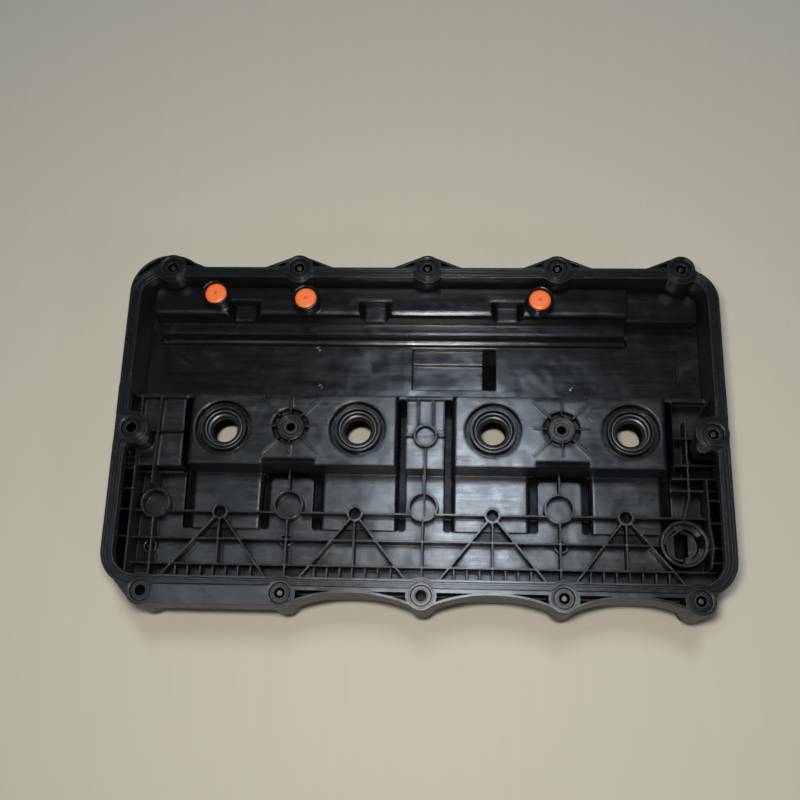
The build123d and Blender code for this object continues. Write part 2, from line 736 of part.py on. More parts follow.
def nipple():
    """Breather connection on the end of the separator housing."""
    end_x = -half_length + housing_end_inset
    section = Plane((end_x - nipple_length, nipple_y, level(nipple_depth)), z_dir=(1, 0, 0))
    tube = extrude(section * Circle(nipple_radius), amount=nipple_length + wall)
    tube = chamfer(tube.faces().sort_by(Axis.X)[0].edges(), nipple_chamfer)
    bore = extrude(section * Circle(nipple_bore), amount=nipple_length + wall + 1)
    return tube, bore


def make_cover():
    outline = flange_outline()
    back_pockets, front_pockets = pocket_fields(outline)
    well_cuts, spokes = centre_wells()
    tube, bore = nipple()
    body = outer_body(outline)
    body -= inner_hollow()
    body += pads() + floor_fields()
    body -= outer_cavities(outline)
    body += injector_bosses()
    body -= injector_cuts() + well_cuts
    body += [front_ribs(), combs(), side_ribs()] + spokes + end_ribs() + floor_rings()
    body -= disc(filler_place, neck_bore, pad_depth, seal_height)
    body += filler_neck() + [tube]
    body += [disc(place, post_radius, floor_depth, seal_height) for place in post_places]
    cuts = [slab(sealing_outline(groove_outer_inset) - sealing_outline(groove_inner_inset), -1, gasket_groove_depth)]
    cuts += [slab(face, -1, apron_depth - apron_web) for face in front_pockets]
    cuts += [slab(face, -1, back_pocket_depth) for face in back_pockets]
    cuts += [disc(place, bolt_bore, -1, ear_depth + 1) for place in bolt_holes]
    cuts += [disc(place, boss_rim_radius, -1, boss_rim_sunk) for place in bolt_holes]
    cuts += [disc(place, centre_bore, pad_depth, centre_end_depth + 1) for place in centre_places]
    cuts += [disc(place, post_bore, floor_depth + wall, seal_height + 1) for place in post_places]
    return body - (cuts + [bore])


# ---------------------------------------------------------------- separator baffle
def baffle_outline(inset):
    front = field(-half_length, half_length, baffle_front_y, flange_back_y)
    return sealing_outline(inner_edge_inset + baffle_clearance + inset) & front


def saddle_cut(x, grow):
    """Notch across the raised channel, with splayed sides."""
    half = saddle_width / 2
    bottom = saddle_depth + grow
    splay = saddle_splay / 2
    points = [(x - half - grow, level(bottom)), (x + half + grow, level(bottom)),
              (x + half + splay + grow, level(channel_depth)), (x + half + splay + grow, seal_height),
              (x - half - splay - grow, seal_height), (x - half - splay - grow, level(channel_depth))]
    face = Plane((0, saddle_back_y + grow, 0), x_dir=(1, 0, 0), z_dir=(0, -1, 0)) * Polygon(*points, align=None)
    return extrude(face, amount=saddle_back_y + grow - shelf_front_y - 1, dir=(0, -1, 0))


def baffle_steps(shrink):
    """The raised steps of the baffle; drawn in by the wall thickness they give its hollow side."""
    low = bead_left_x + shrink
    shelf = field(low, channel_end_x - shrink, shelf_front_y + shrink, flange_back_y)
    channel = field(channel_left_x + shrink, channel_end_x - shrink, channel_front_y + shrink, flange_back_y)
    right = field(channel_end_x - 1, low_channel_end_x - shrink, channel_front_y + shrink, flange_back_y)
    limit = sealing_outline(channel_inset + shrink)
    bottom = baffle_seat_depth + (1 if shrink else 0)
    channel_block = slab(channel & limit, channel_depth + shrink, bottom)
    if not shrink:
        edges = channel_block.faces().sort_by(Axis.Z)[-1].edges().filter_by(Axis.X).sort_by(Axis.Y)
        channel_block = fillet(edges[0], channel_round)
    solids = [slab(shelf & baffle_outline(shrink), shelf_depth + shrink, bottom), channel_block]
    solids.append(slab(right & limit, low_channel_depth + shrink, bottom))
    for place in valve_places:
        top = cup_rim_depth + cup_recess + shrink if shrink else cup_rim_depth
        solids.append(disc(place, cup_radius - shrink, top, bottom))
    return solids


def window(grow):
    """Sunk window of the plate, with one sloped end and a shallower back strip."""
    top = baffle_depth - 1
    solids = []
    for y_low, y_high, depth in ((window_front_y, window_step_y, window_depth),
                                 (window_step_y - 1, window_back_y, window_shallow_depth)):
        points = [(window_left_x - grow, level(depth + grow)),
                  (window_right_x - window_ramp + grow, level(depth + grow)),
                  (window_right_x + grow, level(baffle_depth)), (window_right_x + grow, level(top)),
                  (window_left_x - grow, level(top))]
        face = Plane((0, y_high + grow, 0), x_dir=(1, 0, 0), z_dir=(0, -1, 0)) * Polygon(*points, align=None)
        solids.append(extrude(face, amount=y_high - y_low + 2 * grow, dir=(0, -1, 0)))
    return solids


def make_baffle():
    body = slab(baffle_outline(0), baffle_depth, baffle_seat_depth)
    body += baffle_steps(0)
    notches = [saddle_cut(x, 0) for x in saddles]
    hollow = Part() + baffle_steps(baffle_thickness)
    hollow -= [saddle_cut(x, baffle_thickness) for x in saddles]
    body -= notches
    body -= hollow
    body += [shape & slab(field(-half_length, half_length, 0, flange_back_y), baffle_depth, seal_height)
             for shape in window(baffle_thickness)]
    body -= window(0)
    bead = Plane((bead_left_x, bead_y, level(baffle_depth)), z_dir=(1, 0, 0)) * Circle(bead_radius)
    bead = extrude(bead, amount=channel_end_x - bead_left_x)
    body += bead & block(-half_length, half_length, 0, flange_back_y, 0, baffle_depth + 1)
    cuts = [disc(place, valve_radius + valve_gap, 0, cup_rim_depth + cup_recess) for place in valve_places]
    cuts += [disc(place, valve_stem_radius + 0.1, 0, baffle_depth) for place in valve_places]
    cuts.append(slab(Pos(half_length - slot_inset, slot_y) * SlotOverall(slot_length, slot_width, rotation=90),
                     baffle_depth - 1, baffle_depth + slot_sunk))
    return body - cuts


# ---------------------------------------------------------------- seals, isolators and hardware
def make_gasket():
    outer = groove_outer_inset + gasket_clearance
    inner = groove_inner_inset - gasket_clearance
    gasket = slab(sealing_outline(outer) - sealing_outline(inner), 0, gasket_groove_depth)
    for middle in (outer + bead_inset, inner - bead_inset):
        low = middle - bead_width / 2
        bead = sealing_outline(low) - sealing_outline(low + bead_width)
        gasket += slab(bead, -bead_height, 1)
    return gasket


def make_injector_seal(place):
    top = seat_depth - 9
    profile = [(seal_lip_radius, seat_depth - 2.2), (seal_lip_radius, seat_depth - 3.2), (12.0, top + 2.4),
               (12.0, top), (13.3, top), (13.3, top + 2.4), (seal_outer_radius - 0.6, top + 2.6),
               (seal_outer_radius, top + 3.2), (seal_outer_radius, seat_depth), (10.4, seat_depth)]
    return turned(place, profile)


def make_centre_isolator(place):
    bore = centre_sleeve_radius + 0.1
    outer = centre_isolator_radius
    rim = centre_boss_top - 1.2
    profile = [(bore, rim + 1.6), (outer - 1.0, rim + 1.6), (outer - 1.0, rim), (outer, rim),
               (outer, centre_end_depth), (outer + 1.8, centre_end_depth),
               (outer + 1.8, centre_end_depth + 2), (bore, centre_end_depth + 2)]
    return turned(place, profile)


def make_centre_sleeve(place):
    top = centre_boss_top
    bottom = centre_end_depth + 2.6
    radius = centre_sleeve_radius
    profile = [(centre_hole_radius, top + 0.5), (centre_hole_radius + 0.5, top), (radius - 0.4, top),
               (radius, top + 0.4), (radius, bottom), (centre_hole_radius, bottom)]
    return turned(place, profile)


def make_bolt_isolator(place):
    bore = sleeve_radius + 0.1
    end = ear_depth + isolator_lip_thickness
    profile = [(bore, isolator_sunk), (isolator_radius - 0.5, isolator_sunk), (isolator_radius, isolator_sunk + 0.5),
               (isolator_radius, ear_depth), (isolator_lip_radius, ear_depth),
               (isolator_lip_radius, end - 0.6), (isolator_lip_radius - 0.6, end), (bore, end)]
    return turned(place, profile)


def make_bolt_sleeve(place):
    end = sleeve_end_depth
    profile = [(sleeve_bore, sleeve_sunk + 0.4), (sleeve_bore + 0.4, sleeve_sunk), (sleeve_radius, sleeve_sunk),
               (sleeve_radius, end), (sleeve_bore, end)]
    return turned(place, profile)


def make_flange_bolt(place):
    """Flanged hexagon bolt, drawn back in its sleeve."""
    tip = bolt_tip_sunk
    head = tip + bolt_length
    shoulder = tip + bolt_tip_length
    flange_end = head + bolt_flange_thickness
    profile = [(0, tip), (bolt_tip_radius - 0.4, tip), (bolt_tip_radius, tip + 0.4),
               (bolt_tip_radius, shoulder), (bolt_radius, shoulder + bolt_radius - bolt_tip_radius),
               (bolt_radius, head), (bolt_head_radius, head), (bolt_head_radius, head + 0.5),
               (bolt_hex_flats / 2 + 1, flange_end), (0, flange_end)]
    x, y = place
    hexagon = Pos(x, y) * RegularPolygon(bolt_hex_flats / 2, 6, major_radius=False)
    head_end = flange_end + bolt_hex_height
    socket = slab(hexagon, flange_end - 0.5, head_end)
    socket = chamfer(socket.faces().sort_by(Axis.Z)[0].edges(), 0.4)
    return turned(place, profile) + socket


def make_drain_valve(place):
    """Umbrella valve: a domed disc with a dimple, and a barbed stem through the cup floor."""
    seat = cup_rim_depth + cup_recess
    top = cup_rim_depth + valve_sunk
    under = seat + baffle_thickness
    profile = [(0, top + 0.5), (0.5, top + 0.4), (0.9, top), (valve_radius - 1.8, top + 0.1),
               (valve_radius - 0.5, top + 0.6), (valve_radius, top + 1.2), (valve_radius, seat),
               (valve_stem_radius, seat), (valve_stem_radius, under), (valve_bulb_radius, under),
               (valve_stem_radius, under + 3.2), (0, under + 3.2)]
    return turned(place, profile)


def make_cap_seal():
    return ring(filler_place, neck_radius + 0.2, neck_bore + 0.1, neck_end_depth + 0.1,
                neck_end_depth + cap_seal_thickness)


def make_filler_cap():
    """Bayonet cap: fluted grip, and a plug with a slot across its floor and two hooked lugs."""
    inside = neck_radius + cap_gap
    seat = neck_end_depth + cap_seal_thickness
    plug_top = ramp_top_depth - 0.4 - cap_lug_thickness
    plug = cap_plug_radius
    rim = ramp_top_depth + ramp_thickness + cap_gap
    profile = [(0, cap_plug_floor), (plug - cap_plug_wall, cap_plug_floor), (plug - cap_plug_wall, plug_top),
               (plug, plug_top), (plug, seat), (inside, seat), (inside, cap_top_depth),
               (cap_radius - 1, cap_top_depth), (cap_radius, cap_top_depth + 1), (cap_radius, seal_height - 1.5),
               (cap_radius - 1.5, seal_height), (0, seal_height)]
    cap = turned(filler_place, profile)
    bottom = plug_top + cap_lug_thickness
    spread = cap_lug_spread
    for angle in cap_lug_angles:
        window = wedge(plug - cap_plug_wall - 1, plug + 1, angle + spread / 2, 180 - spread)
        cap -= slab(Pos(*filler_place) * window, plug_top - 1, rim)
    for angle in cap_lug_angles:
        lug = wedge(plug - 0.5, neck_bore - cap_gap, angle - spread / 2, spread)
        cap += slab(Pos(*filler_place) * lug, plug_top, bottom)
    slot = Rectangle(cap_slot_width, 2 * plug) & Circle(plug - cap_plug_wall - 0.3)
    cap -= slab(Pos(*filler_place) * slot, cap_plug_floor - 1, seal_height - cap_slot_height)
    x, y = filler_place
    for step in range(cap_flutes):
        turn = 2 * pi * (step + 0.5) / cap_flutes
        reach = cap_radius + cap_flute_radius * 0.55
        place = (x + reach * cos(turn), y + reach * sin(turn))
        cap -= disc(place, cap_flute_radius, cap_top_depth + 3, seal_height + 1)
    return cap


# ---------------------------------------------------------------- all parts
def build_all():
    parts = {"cover": make_cover(), "separator_baffle": make_baffle(), "flange_gasket": make_gasket()}
    for number, place in enumerate(cylinder_places, 1):
        parts[f"injector_seal_{number}"] = make_injector_seal(place)
    for number, place in enumerate(centre_places, 1):
        parts[f"centre_isolator_{number}"] = make_centre_isolator(place)
        parts[f"centre_sleeve_{number}"] = make_centre_sleeve(place)
    for number, place in enumerate(bolt_holes, 1):
        parts[f"bolt_isolator_{number}"] = make_bolt_isolator(place)
        parts[f"bolt_sleeve_{number}"] = make_bolt_sleeve(place)
    for number, place in enumerate(fitted_bolts, 1):
        parts[f"flange_bolt_{number}"] = make_flange_bolt(place)
    for number, place in enumerate(valve_places, 1):
        parts[f"drain_valve_{number}"] = make_drain_valve(place)
    parts["filler_cap"] = make_filler_cap()
    parts["filler_cap_seal"] = make_cap_seal()
    return parts


if __name__ == "__main__":
    os.makedirs("parts", exist_ok=True)
    for name, shape in build_all().items():
        export_step(shape, f"parts/{name}.step")
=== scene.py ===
"""Look of the moulded valve cover: materials, small moulded marks, bolt threads, camera and light."""

import json
import math
import bpy
import bmesh
from mathutils import Matrix, Vector
from mathutils.bvhtree import BVHTree


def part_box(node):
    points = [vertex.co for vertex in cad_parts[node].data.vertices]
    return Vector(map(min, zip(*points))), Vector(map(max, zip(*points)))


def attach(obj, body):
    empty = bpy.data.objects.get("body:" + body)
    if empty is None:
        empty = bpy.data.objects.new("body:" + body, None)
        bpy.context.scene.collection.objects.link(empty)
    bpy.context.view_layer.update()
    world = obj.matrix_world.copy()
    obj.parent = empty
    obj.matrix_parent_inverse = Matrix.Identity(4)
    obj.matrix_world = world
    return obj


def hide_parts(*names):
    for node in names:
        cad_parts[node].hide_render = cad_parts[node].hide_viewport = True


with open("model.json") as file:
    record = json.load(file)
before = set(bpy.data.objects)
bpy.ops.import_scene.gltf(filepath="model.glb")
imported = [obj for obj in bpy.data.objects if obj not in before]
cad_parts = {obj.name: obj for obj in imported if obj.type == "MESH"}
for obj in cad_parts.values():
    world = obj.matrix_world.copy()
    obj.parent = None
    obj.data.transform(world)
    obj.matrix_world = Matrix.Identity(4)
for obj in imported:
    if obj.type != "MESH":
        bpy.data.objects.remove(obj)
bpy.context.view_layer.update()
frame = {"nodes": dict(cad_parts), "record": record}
MM = 0.001


# ------------------------------------------------------------------ camera
# the place is in millimetres of the frame, and the focal length in pixels of a square picture
SENSOR_WIDTH = 36.0
PICTURE_PIXELS = 800.0
FOCAL_PIXELS = 1060.0
CAMERA_PLACE = (26.9, -216.65, 780.07)
CAMERA_RIGHT = (0.99855, 0.02646, -0.04685)
CAMERA_AHEAD = (-0.05277, 0.31219, -0.94855)


def make_camera():
    data = bpy.data.cameras.new("photo_camera")
    data.sensor_fit = "HORIZONTAL"
    data.sensor_width = SENSOR_WIDTH
    data.lens = SENSOR_WIDTH * FOCAL_PIXELS / PICTURE_PIXELS
    data.clip_start = 0.02
    data.clip_end = 20.0
    camera = bpy.data.objects.new("photo_camera", data)
    bpy.context.scene.collection.objects.link(camera)
    right = Vector(CAMERA_RIGHT).normalized()
    ahead = Vector(CAMERA_AHEAD).normalized()
    up = right.cross(ahead)
    place = Vector(CAMERA_PLACE) * MM
    camera.matrix_world = Matrix.Translation(place) @ Matrix((right, up, -ahead)).transposed().to_4x4()
    bpy.context.scene.camera = camera


make_camera()


# ------------------------------------------------------------------ materials
# levels between which the look of the plastic changes, in metres: just above the lowest grooves, below which
# the grooves get painted shade, between the fields and the pads, and below the rim, whose edges are the
# sharpest
GROOVE_LEVELS = (0.0165, 0.0190)
FIELD_LEVELS = (0.034, 0.040)
RIM_LEVELS = (0.057, 0.062)
RIM_EDGE = 0.6 * MM
LOW_EDGE_SHARE = 0.55


class Shader:
    """A small helper round one material's nodes."""

    def __init__(self, name):
        self.material = bpy.data.materials.new(name)
        self.material.use_nodes = True
        self.tree = self.material.node_tree
        self.surface = next(n for n in self.tree.nodes if n.type == "BSDF_PRINCIPLED")
        self.place = self.add("ShaderNodeTexCoord").outputs["Object"]

    def add(self, kind, **settings):
        node = self.tree.nodes.new(kind)
        for key, value in settings.items():
            setattr(node, key, value)
        return node

    def join(self, source, target):
        self.tree.links.new(source, target)

    def stretched(self, scale):
        """The place on the object, scaled by a different amount along each axis."""
        mapping = self.add("ShaderNodeMapping")
        mapping.inputs["Scale"].default_value = scale
        self.join(self.place, mapping.inputs["Vector"])
        return mapping.outputs["Vector"]

    def noise(self, scale, detail=3.0, rough=0.5, place=None, distortion=0.0):
        node = self.add("ShaderNodeTexNoise")
        node.inputs["Scale"].default_value = scale
        node.inputs["Detail"].default_value = detail
        node.inputs["Roughness"].default_value = rough
        node.inputs["Distortion"].default_value = distortion
        self.join(place or self.place, node.inputs["Vector"])
        return node.outputs["Fac"]

    def remap(self, source, low, high, to_low=0.0, to_high=1.0, smooth=False):
        """A value that goes from to_low to to_high while the source goes from low to high."""
        node = self.add("ShaderNodeMapRange")
        if smooth:
            node.interpolation_type = "SMOOTHSTEP"
        for index, value in enumerate((low, high, to_low, to_high), 1):
            node.inputs[index].default_value = value
        self.join(source, node.inputs[0])
        return node.outputs[0]

    def math(self, operation, first, second):
        node = self.add("ShaderNodeMath", operation=operation)
        for socket, value in zip(node.inputs, (first, second)):
            if isinstance(value, (int, float)):
                socket.default_value = value
            else:
                self.join(value, socket)
        return node.outputs[0]

    def blend(self, factor, first, second):
        """A colour that goes from the first to the second as the factor goes from 0 to 1."""
        node = self.add("ShaderNodeMix", data_type="RGBA")
        self.join(factor, node.inputs["Factor"])
        for socket, value in ((node.inputs[6], first), (node.inputs[7], second)):
            if isinstance(value, tuple):
                socket.default_value = value + (1.0,)
            else:
                self.join(value, socket)
        return node.outputs[2]

    def edges(self, radius):
        """Rounded normals, and a mask that is 1 on the rounded edges."""
        bevel = self.add("ShaderNodeBevel", samples=4)
        if isinstance(radius, float):
            bevel.inputs["Radius"].default_value = radius
        else:
            self.join(radius, bevel.inputs["Radius"])
        flat = self.add("ShaderNodeNewGeometry").outputs["Normal"]
        dot = self.add("ShaderNodeVectorMath", operation="DOT_PRODUCT")
        self.join(bevel.outputs["Normal"], dot.inputs[0])
        self.join(flat, dot.inputs[1])
        return bevel.outputs["Normal"], self.remap(dot.outputs["Value"], 0.97, 0.80)

    def cavity(self, distance):
        """A mask that is 1 in narrow recesses and in the lowest grooves, where shade is painted, and 0 on
        open surfaces.
        """
        node = self.add("ShaderNodeAmbientOcclusion", samples=6, only_local=True)
        node.inputs["Distance"].default_value = distance
        narrow = self.remap(node.outputs["AO"], 0.26, 0.48, 1.0, 0.0, smooth=True)
        hidden = self.remap(node.outputs["AO"], 0.62, 0.88, 1.0, 0.0, smooth=True)
        groove = self.math("MULTIPLY", hidden, self.by_height(GROOVE_LEVELS, 1.0, 0.0))
        return self.math("MAXIMUM", narrow, groove)

    def side_faces(self):
        """A mask that is 1 on upright faces and 0 on level ones."""
        split = self.add("ShaderNodeSeparateXYZ")
        self.join(self.add("ShaderNodeNewGeometry").outputs["Normal"], split.inputs[0])
        levelness = self.math("ABSOLUTE", split.outputs["Z"], 0.0)
        return self.remap(levelness, 0.10, 0.55, 1.0, 0.0, smooth=True)

    def by_height(self, levels, below, above):
        """A value that changes from one level of the part to another."""
        split = self.add("ShaderNodeSeparateXYZ")
        self.join(self.place, split.inputs[0])
        return self.remap(split.outputs["Z"], levels[0], levels[1], below, above)

    def bump(self, height, distance, strength, normal=None):
        node = self.add("ShaderNodeBump")
        node.inputs["Strength"].default_value = strength
        node.inputs["Distance"].default_value = distance
        self.join(height, node.inputs["Height"])
        if normal is not None:
            self.join(normal, node.inputs["Normal"])
        return node.outputs["Normal"]

    def finish(self, color, roughness, normal, **constants):
        self.join(color, self.surface.inputs["Base Color"])
        self.join(roughness, self.surface.inputs["Roughness"])
        self.join(normal, self.surface.inputs["Normal"])
        for name, value in constants.items():
            self.surface.inputs[name.replace("_", " ")].default_value = value
        return self.material


def moulded_plastic(name, dark, light, worn_and_highlight, rough, flow, smear_amount, soft_edge, ripple_depth):
    """Glossy black plastic with flow lines, dry oil smears, fine grain, painted shade in recesses, and rubbed
    edges that are lightened partly as wear and partly as a painted edge highlight.

    rough is the range of the roughness, and flow stretches the flow lines along the axes. soft_edge is
    the radius by which the pads' edges look rounded; the edges below them take a share of it.
    """
    s = Shader(name)
    cloud = s.noise(14.0, 4.0, 0.6)
    streak = s.noise(60.0, 4.0, 0.6, s.stretched(flow), 0.4)
    tone = s.remap(s.math("ADD", cloud, streak), 0.75, 1.3)
    color = s.blend(tone, dark, light)
    smear = s.remap(s.noise(17.0, 6.0, 0.62, None, 1.4), 0.58, 0.80, 0.0, smear_amount, smooth=True)
    color = s.blend(smear, color, (0.05, 0.053, 0.055))
    dust = s.remap(s.noise(1900.0, 2.0, 0.5), 0.72, 0.82, 0.0, 0.25)
    color = s.blend(dust, color, (0.12, 0.115, 0.10))
    field_edge = s.by_height(FIELD_LEVELS, LOW_EDGE_SHARE * soft_edge, soft_edge)
    rim_change = s.by_height(RIM_LEVELS, 0.0, RIM_EDGE - soft_edge)
    round_normal, edge = s.edges(s.math("ADD", field_edge, rim_change))
    # edges lightened with a bluish grey: partly rubbed wear, partly a painted edge highlight
    color = s.blend(s.math("MULTIPLY", edge, 0.3), color, worn_and_highlight)
    spread = s.math("ADD", s.noise(60.0, 4.0, 0.6), streak)
    roughness = s.remap(spread, 0.7, 1.3, rough[0], rough[1])
    roughness = s.math("ADD", roughness, s.math("MULTIPLY", smear, 0.4))
    # painted shade: narrow recesses and the lowest grooves are darkened to near black, and the specular tint
    # dims their reflections
    recess = s.cavity(14.0 * MM)
    color = s.blend(recess, color, (0.0012, 0.0013, 0.0015))
    tint = s.blend(recess, (1.0, 1.0, 1.0), (0.08, 0.08, 0.09))
    s.join(tint, s.surface.inputs["Specular Tint"])
    roughness = s.math("ADD", roughness, s.math("MULTIPLY", s.side_faces(), 0.28))
    wave = s.bump(s.noise(38.0, 2.0, 0.4), 0.8 * MM, 0.7, round_normal)
    ripple = s.bump(streak, ripple_depth, 0.6, wave)
    normal = s.bump(s.noise(2600.0, 2.0, 0.5), 0.012 * MM, 0.5, ripple)
    return s.finish(color, roughness, normal, Specular_IOR_Level=0.55)


def rubber(name, dark, light, rough, gloss=0.4):
    """Black rubber with a little dust and rubbed edges."""
    s = Shader(name)
    tone = s.remap(s.noise(90.0, 5.0, 0.6), 0.35, 0.7)
    color = s.blend(tone, dark, light)
    dust = s.remap(s.noise(1500.0, 3.0, 0.6), 0.62, 0.75, 0.0, 0.4)
    color = s.blend(dust, color, (0.09, 0.088, 0.08))
    round_normal, edge = s.edges(0.3 * MM)
    color = s.blend(s.math("MULTIPLY", edge, 0.35), color, (0.05, 0.052, 0.055))
    roughness = s.remap(s.noise(240.0, 4.0, 0.6), 0.3, 0.7, rough[0], rough[1])
    normal = s.bump(s.noise(3200.0, 3.0, 0.6), 0.03 * MM, 0.7, round_normal)
    return s.finish(color, roughness, normal, Specular_IOR_Level=gloss)


def silicone(name, shade=1.0):
    """Orange silicone; a shade below 1 makes it darker."""
    s = Shader(name)
    tone = s.remap(s.noise(420.0, 4.0, 0.6), 0.35, 0.7)
    color = s.blend(tone, (0.97 * shade, 0.155 * shade, 0.024), (1.0 * shade, 0.22 * shade, 0.05))
    dust = s.remap(s.noise(1700.0, 2.0, 0.6), 0.66, 0.78, 0.0, 0.35)
    color = s.blend(dust, color, (0.55, 0.3, 0.18))
    round_normal, edge = s.edges(0.3 * MM)
    color = s.blend(s.math("MULTIPLY", edge, 0.3), color, (1.0, 0.36, 0.14))
    roughness = s.remap(s.noise(600.0, 3.0, 0.5), 0.3, 0.7, 0.34, 0.5)
    normal = s.bump(s.noise(700.0, 3.0, 0.5), 0.05 * MM, 0.6, round_normal)
    return s.finish(color, roughness, normal, Subsurface_Weight=0.12, Subsurface_Scale=0.0015)


def steel(name, dark, light, rough):
    """Plated steel with drawn lines along the axis and stains."""
    s = Shader(name)
    drawn = s.noise(1.0, 4.0, 0.7, s.stretched((2600.0, 2600.0, 70.0)))
    stain = s.noise(260.0, 4.0, 0.6)
    color = s.blend(s.remap(s.math("ADD", drawn, stain), 0.7, 1.3), dark, light)
    round_normal, edge = s.edges(0.2 * MM)
    color = s.blend(s.math("MULTIPLY", edge, 0.5), color, (0.3, 0.3, 0.29))
    roughness = s.remap(stain, 0.3, 0.7, rough[0], rough[1])
    normal = s.bump(drawn, 0.02 * MM, 0.5, round_normal)
    return s.finish(color, roughness, normal, Metallic=1.0)


def card_floor(name):
    """Pale card with faint lines across the row of cylinders."""
    s = Shader(name)
    lines = s.noise(1.0, 3.0, 0.5, s.stretched((150.0, 4.0, 1.0)))
    fibre = s.noise(900.0, 3.0, 0.6)
    color = s.blend(s.remap(lines, 0.3, 0.7), (0.615, 0.57, 0.452), (0.628, 0.583, 0.464))
    roughness = s.remap(fibre, 0.3, 0.7, 0.7, 0.85)
    normal = s.bump(fibre, 0.05 * MM, 0.3)
    return s.finish(color, roughness, normal, Specular_IOR_Level=0.2)


def bore_shade_sheet(name):
    """Painted shade: a near-black sheet that hardly shines, laid where a bore is in shade."""
    s = Shader(name)
    tone = s.remap(s.noise(300.0, 4.0, 0.6), 0.35, 0.7)
    color = s.blend(tone, (0.0015, 0.0015, 0.0017), (0.004, 0.004, 0.0043))
    roughness = s.remap(s.noise(500.0, 3.0, 0.6), 0.3, 0.7, 0.8, 0.95)
    normal = s.bump(s.noise(900.0, 3.0, 0.6), 0.04 * MM, 0.5)
    return s.finish(color, roughness, normal, Specular_IOR_Level=0.04)


MATERIALS = {
    "cover_plastic": moulded_plastic(
        "cover_plastic", dark=(0.0040, 0.0046, 0.0054), light=(0.0085, 0.0095, 0.0105),
        worn_and_highlight=(0.055, 0.062, 0.070), rough=(0.18, 0.30), flow=(0.5, 5.0, 5.0), smear_amount=0.25,
        soft_edge=2.6 * MM, ripple_depth=0.08 * MM),
    "baffle_plastic": moulded_plastic(
        "baffle_plastic", dark=(0.0022, 0.0024, 0.0028), light=(0.0048, 0.0050, 0.0054),
        worn_and_highlight=(0.030, 0.034, 0.038), rough=(0.13, 0.22), flow=(0.3, 4.0, 4.0), smear_amount=0.22,
        soft_edge=3.0 * MM, ripple_depth=0.02 * MM),
    "cap_plastic": moulded_plastic(
        "cap_plastic", dark=(0.0050, 0.0058, 0.0066), light=(0.011, 0.012, 0.0135),
        worn_and_highlight=(0.03, 0.034, 0.038), rough=(0.18, 0.30), flow=(1.0, 1.0, 1.0), smear_amount=0.2,
        soft_edge=0.6 * MM, ripple_depth=0.03 * MM),
    "seal_rubber": rubber("seal_rubber", (0.0034, 0.0038, 0.0043), (0.0075, 0.0080, 0.0086), (0.17, 0.28)),
    # a copy of the seal rubber with a lighter base, which is painted sheen on the seals' lips, and a higher
    # specular level
    "lip_rubber_painted_sheen": rubber("lip_rubber_painted_sheen", (0.009, 0.010, 0.011), (0.016, 0.017, 0.019), (0.28, 0.38), gloss=0.9),
    "orange_silicone": silicone("orange_silicone"),
    "valve_nub": silicone("valve_nub", shade=0.55),
    "sleeve_steel": steel("sleeve_steel", (0.018, 0.018, 0.018), (0.06, 0.06, 0.058), (0.34, 0.5)),
    "bolt_steel": steel("bolt_steel", (0.03, 0.03, 0.031), (0.10, 0.10, 0.10), (0.26, 0.42)),
    "bore_shade_sheet": bore_shade_sheet("bore_shade_sheet"),
}


def dress_nodes():
    slots = {part["node"]: part["material_slot"] for part in frame["record"]["subparts"]}
    for name, node in frame["nodes"].items():
        for index in range(max(1, len(node.material_slots))):
            if not node.material_slots:
                node.data.materials.append(None)
            node.material_slots[index].material = MATERIALS[slots[name]]


dress_nodes()


# ------------------------------------------------------------------ helpers for the small pieces
INJECTORS = range(1, 5)
VALVES = range(1, 4)
BOLTS = range(1, 10)
SHARP_FROM = math.radians(55)
SURFACES = {name: BVHTree.FromObject(frame["nodes"][name], bpy.context.evaluated_depsgraph_get())
            for name in ("cover", "separator_baffle")}


def new_piece(name, mesh, slot, body="cover", material=None):
    piece = bpy.data.objects.new(name, mesh)
    bpy.context.scene.collection.objects.link(piece)
    mesh.materials.append(material or MATERIALS[slot])
    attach(piece, body)
    return piece


def mesh_from(bm, name, smooth=True):
    bmesh.ops.recalc_face_normals(bm, faces=bm.faces)
    mesh = bpy.data.meshes.new(name)
    bm.to_mesh(mesh)
    bm.free()
    for face in mesh.polygons:
        face.use_smooth = smooth
    if smooth:
        mesh.set_sharp_from_angle(angle=SHARP_FROM)
    return mesh


def skin(bm, rows, around=False):
    """Adds faces between rows of corners; around joins each row's last corner to its first."""
    for low, high in zip(rows, rows[1:]):
        count = len(low)
        for index in range(count if around else count - 1):
            after = (index + 1) % count
            bm.faces.new((low[index], low[after], high[after], high[index]))


def lathe(bm, x, y, profile, steps=48, closed=False):
    """Adds a surface turned about a vertical axis; the profile is (radius, height) in millimetres."""
    rings = []
    for radius, height in profile:
        ring = []
        for step in range(steps):
            angle = 2 * math.pi * step / steps
            ring.append(bm.verts.new(((x + radius * math.cos(angle)) * MM,
                                      (y + radius * math.sin(angle)) * MM, height * MM)))
        rings.append(ring)
    skin(bm, rings + rings[:1] if closed else rings, around=True)


def half_round(bm, x, y, radius, height, width, rise, sink=0.05, arc_steps=6, steps=96):
    """A low half-round ridge that runs round a vertical axis, with its feet sunk below the surface."""
    section = [(radius - width / 2, height - sink)]
    for step in range(arc_steps + 1):
        angle = math.pi * step / arc_steps
        section.append((radius - width / 2 * math.cos(angle), height + rise * math.sin(angle)))
    section.append((radius + width / 2, height - sink))
    lathe(bm, x, y, section, steps, closed=True)


def middle(node):
    """Middle of a node's box along X and Y, and its lowest and highest level, in millimetres."""
    low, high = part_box(node)
    return (low.x + high.x) / 2 / MM, (low.y + high.y) / 2 / MM, low.z / MM, high.z / MM


def ground(node, x, y, above=90.0):
    """Height of a node's surface under a point, in millimetres."""
    hit = SURFACES[node].ray_cast(Vector((x, y, above)) * MM, Vector((0, 0, -1)))
    return hit[0].z / MM


